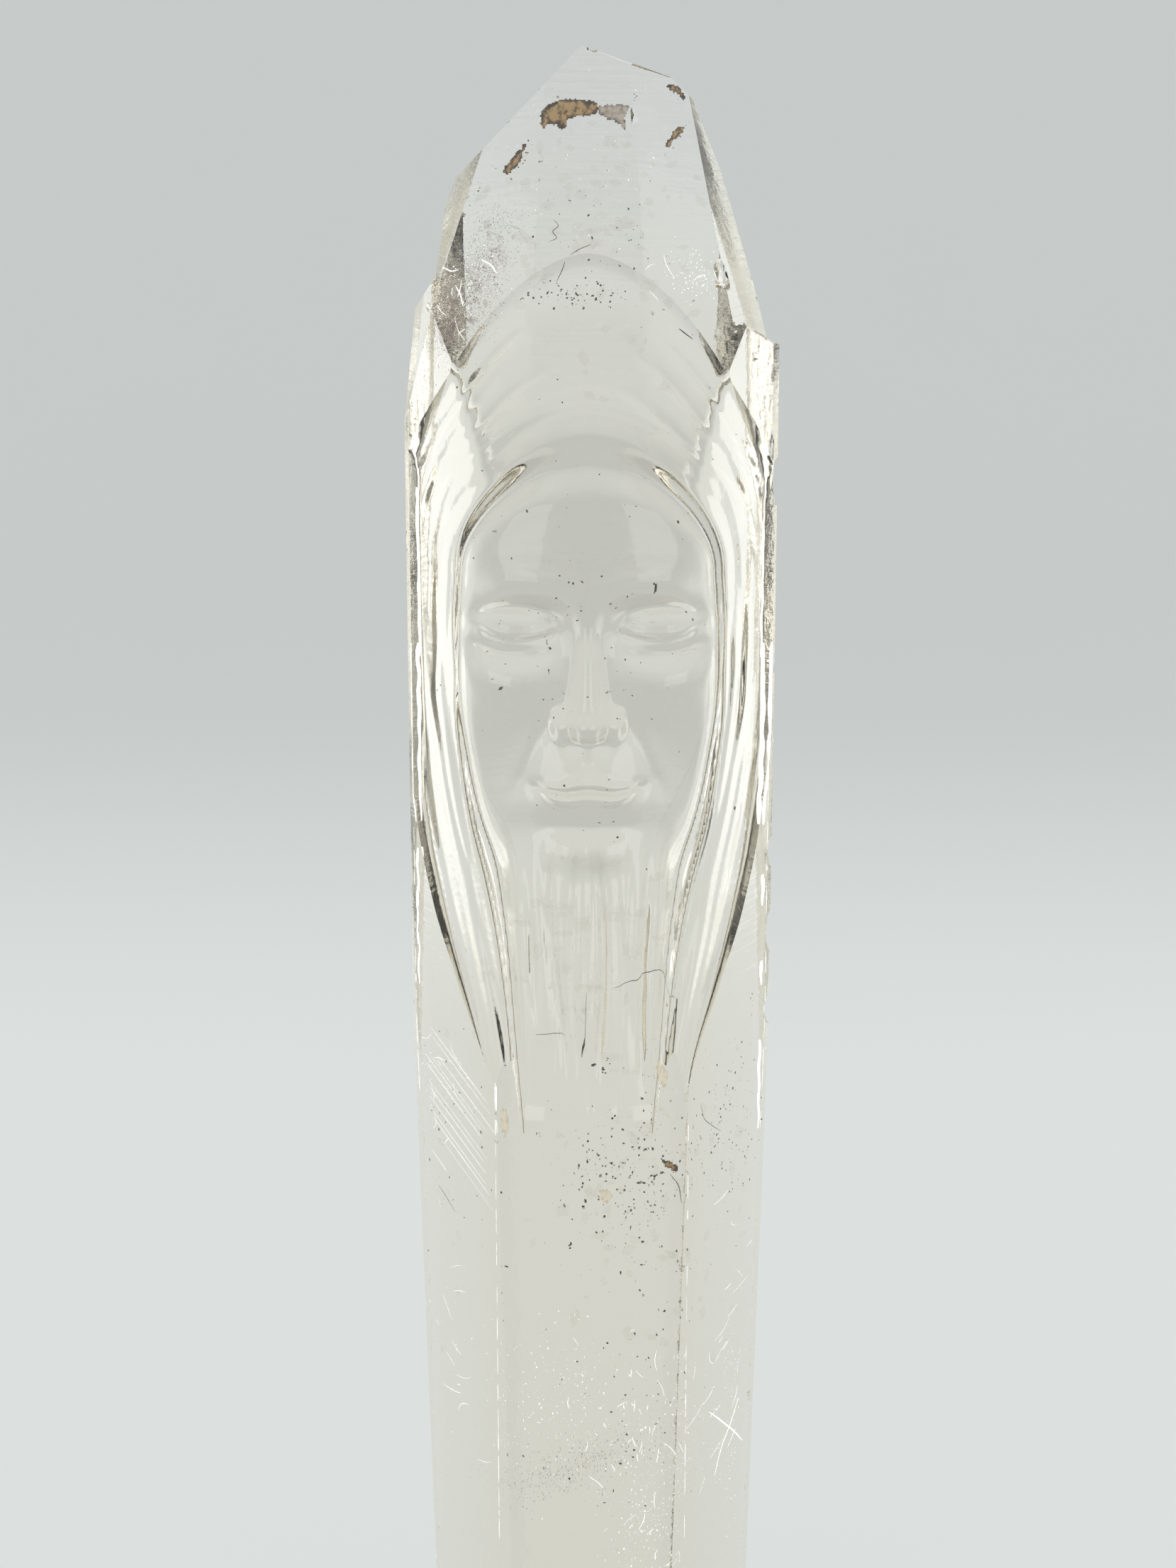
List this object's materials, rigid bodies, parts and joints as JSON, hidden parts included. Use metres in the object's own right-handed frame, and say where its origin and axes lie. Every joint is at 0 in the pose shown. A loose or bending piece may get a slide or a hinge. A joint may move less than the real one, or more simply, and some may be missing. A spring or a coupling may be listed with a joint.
{
  "type": "carved quartz crystal point",
  "caption": "Decorative clear quartz point, a prism with a stepped side crystal and a bearded, long-haired head carved in low relief on its front, cut flat to stand.",
  "frame": {"origin": "centre of the crystal's cut base, on its prism axis", "axes": "+Z along the crystal to its tip, the carved side facing -Y, +X to the right of the carved head as seen from the front"},
  "size_m": [0.0279, 0.022, 0.14],
  "materials": {
    "quartz": "polished natural quartz, clear, with a fine-ground carved front"
  },
  "bodies": {
    "root": {"crystal": "quartz"}
  },
  "joints": []
}
